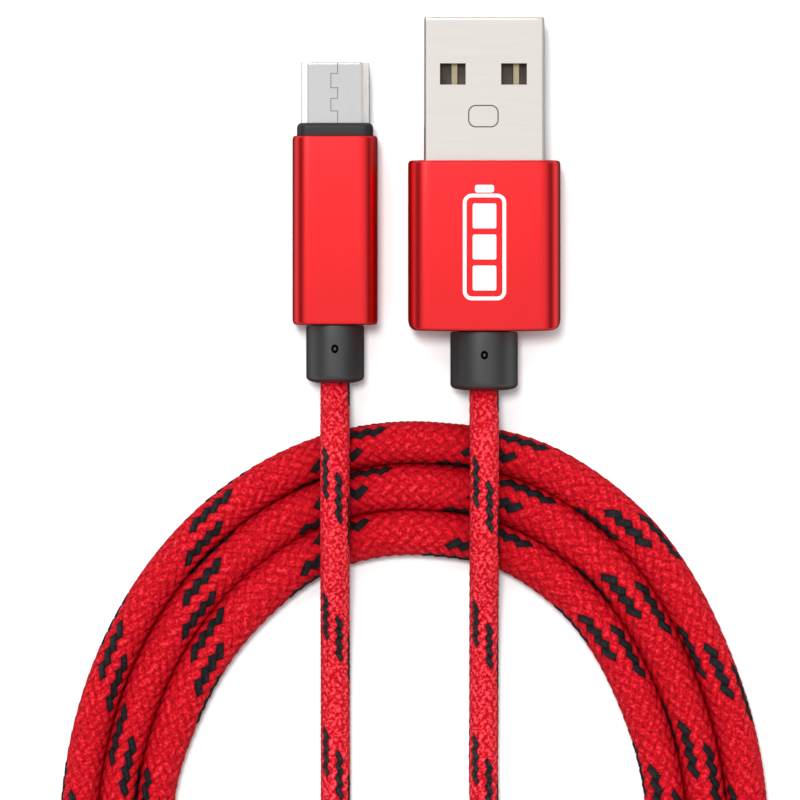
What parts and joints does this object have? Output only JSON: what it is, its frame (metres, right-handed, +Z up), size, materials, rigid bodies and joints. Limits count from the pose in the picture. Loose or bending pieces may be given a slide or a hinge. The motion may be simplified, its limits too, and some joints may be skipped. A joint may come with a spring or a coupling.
{
  "type": "charging cable",
  "caption": "Braided charging cable lying in an oval coil, with a Type-A plug and a Micro-B plug in metal housings with round collars.",
  "frame": {"origin": "on the table, in the middle of the box round the two plugs as they lie side by side", "axes": "+X to the right, from the Micro-B plug to the Type-A plug; +Y towards both plugs' noses; +Z up from the table"},
  "size_m": [0.0712, 0.1486, 0.0077],
  "materials": {
    "red_housing": "satin anodised, fine matt grain",
    "white_mark": "thin white print",
    "plug_shell": "nickel-plated steel, fine brushing along the width",
    "latch_spring": "spring steel",
    "contacts": "gold-plated",
    "contact_block": "moulded",
    "black_plastic": "moulded, fine texture",
    "collar": "satin moulded, with a pin mark",
    "inner_mould": "translucent moulding, out of sight",
    "cord_jacket": "smooth",
    "cord_braid": "braided nylon, red with dashes of black yarn",
    "wire_red": "smooth",
    "wire_white": "smooth",
    "wire_green": "smooth",
    "wire_black": "smooth"
  },
  "bodies": {
    "root": {"type_a_shell": "plug_shell", "type_a_contact_block": "contact_block", "type_a_contact_1": "contacts", "type_a_contact_2": "contacts", "type_a_contact_3": "contacts", "type_a_contact_4": "contacts", "type_a_front_plate": "black_plastic", "type_a_inner_mould": "inner_mould", "type_a_wire_1": "wire_red", "type_a_wire_2": "wire_white", "type_a_wire_3": "wire_green", "type_a_wire_4": "wire_black", "type_a_jacket_end": "cord_jacket", "type_a_housing": "red_housing", "type_a_collar": "collar", "micro_b_shell": "plug_shell", "micro_b_contact_block": "contact_block", "micro_b_contact_1": "contacts", "micro_b_contact_2": "contacts", "micro_b_contact_3": "contacts", "micro_b_contact_4": "contacts", "micro_b_contact_5": "contacts", "micro_b_front_collar": "black_plastic", "micro_b_inner_mould": "inner_mould", "micro_b_wire_1": "wire_red", "micro_b_wire_2": "wire_white", "micro_b_wire_3": "wire_green", "micro_b_wire_4": "wire_black", "micro_b_jacket_end": "cord_jacket", "micro_b_housing": "red_housing", "micro_b_collar": "collar", "cord_lead_a": "cord_braid", "cord_lead_b": "cord_braid", "cord_coil": "cord_braid"},
    "latch_left": {"micro_b_latch_left": "latch_spring"},
    "latch_right": {"micro_b_latch_right": "latch_spring"}
  },
  "joints": [
    {"name": "latch_left_press", "type": "hinge", "parent": "root", "child": "latch_left", "pos_m": [-0.00912, 0.0048, 0.00274], "axis": [1, 0, 0], "range_deg": [0, 2.6], "stiffness_Nm_per_rad": 0.05},
    {"name": "latch_right_press", "type": "hinge", "parent": "root", "child": "latch_right", "pos_m": [-0.00912, 0.0048, 0.00274], "axis": [1, 0, 0], "range_deg": [0, 2.6], "stiffness_Nm_per_rad": 0.05}
  ]
}
